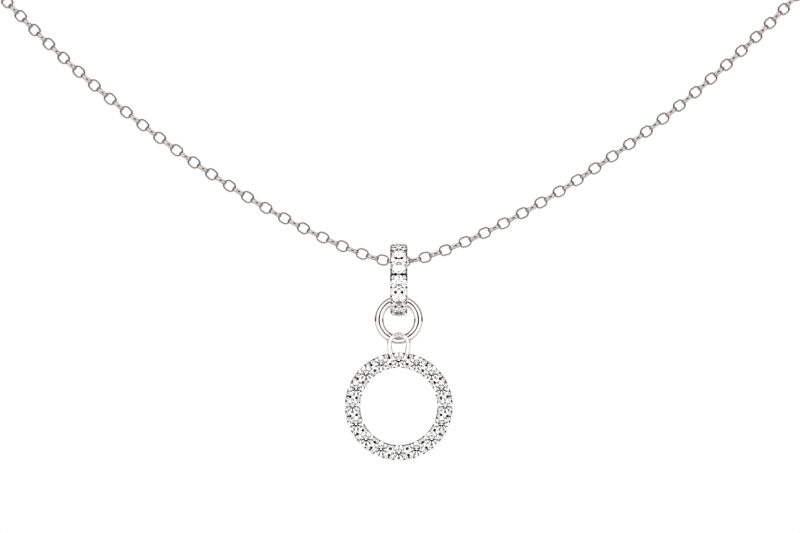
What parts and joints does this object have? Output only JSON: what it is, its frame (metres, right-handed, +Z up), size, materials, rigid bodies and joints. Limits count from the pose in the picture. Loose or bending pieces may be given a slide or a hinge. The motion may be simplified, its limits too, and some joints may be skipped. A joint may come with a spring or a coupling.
{
  "type": "diamond pendant necklace",
  "caption": "Open circle of round stones on a jump ring and a stone-set hoop bail, hanging on a fine cable chain.",
  "frame": {"origin": "middle of the clasp at the nape, where the chain lies on the neck", "axes": "+Z up, the front of the pendant faces -Y, +X to the viewer's right"},
  "size_m": [0.1292, 0.1241, 0.1244],
  "materials": {
    "white_gold": "high polish",
    "diamond": "faceted, polished"
  },
  "bodies": {
    "necklace": {"chain_front": "white_gold", "chain_back": "white_gold", "clasp": "white_gold"},
    "bail": {"bail": "white_gold", "bail_stone_01": "diamond", "bail_stone_02": "diamond", "bail_stone_03": "diamond", "bail_stone_04": "diamond", "bail_stone_05": "diamond", "bail_stone_06": "diamond", "bail_stone_07": "diamond"},
    "jump_ring": {"jump_ring": "white_gold"},
    "circle": {"circle": "white_gold", "circle_stone_01": "diamond", "circle_stone_02": "diamond", "circle_stone_03": "diamond", "circle_stone_04": "diamond", "circle_stone_05": "diamond", "circle_stone_06": "diamond", "circle_stone_07": "diamond", "circle_stone_08": "diamond", "circle_stone_09": "diamond", "circle_stone_10": "diamond", "circle_stone_11": "diamond", "circle_stone_12": "diamond", "circle_stone_13": "diamond", "circle_stone_14": "diamond", "circle_stone_15": "diamond", "circle_stone_16": "diamond"}
  },
  "joints": [
    {"name": "bail_swing", "type": "hinge", "parent": "necklace", "child": "bail", "pos_m": [0, -0.11845, -0.09849], "axis": [1, 0, 0], "range_deg": [-60, 60]},
    {"name": "ring_swing", "type": "hinge", "parent": "bail", "child": "jump_ring", "pos_m": [0, -0.11845, -0.10327], "axis": [1, 0, 0], "range_deg": [-45, 45]},
    {"name": "circle_swing", "type": "hinge", "parent": "jump_ring", "child": "circle", "pos_m": [0, -0.11845, -0.10819], "axis": [1, 0, 0], "range_deg": [-35, 35]}
  ]
}
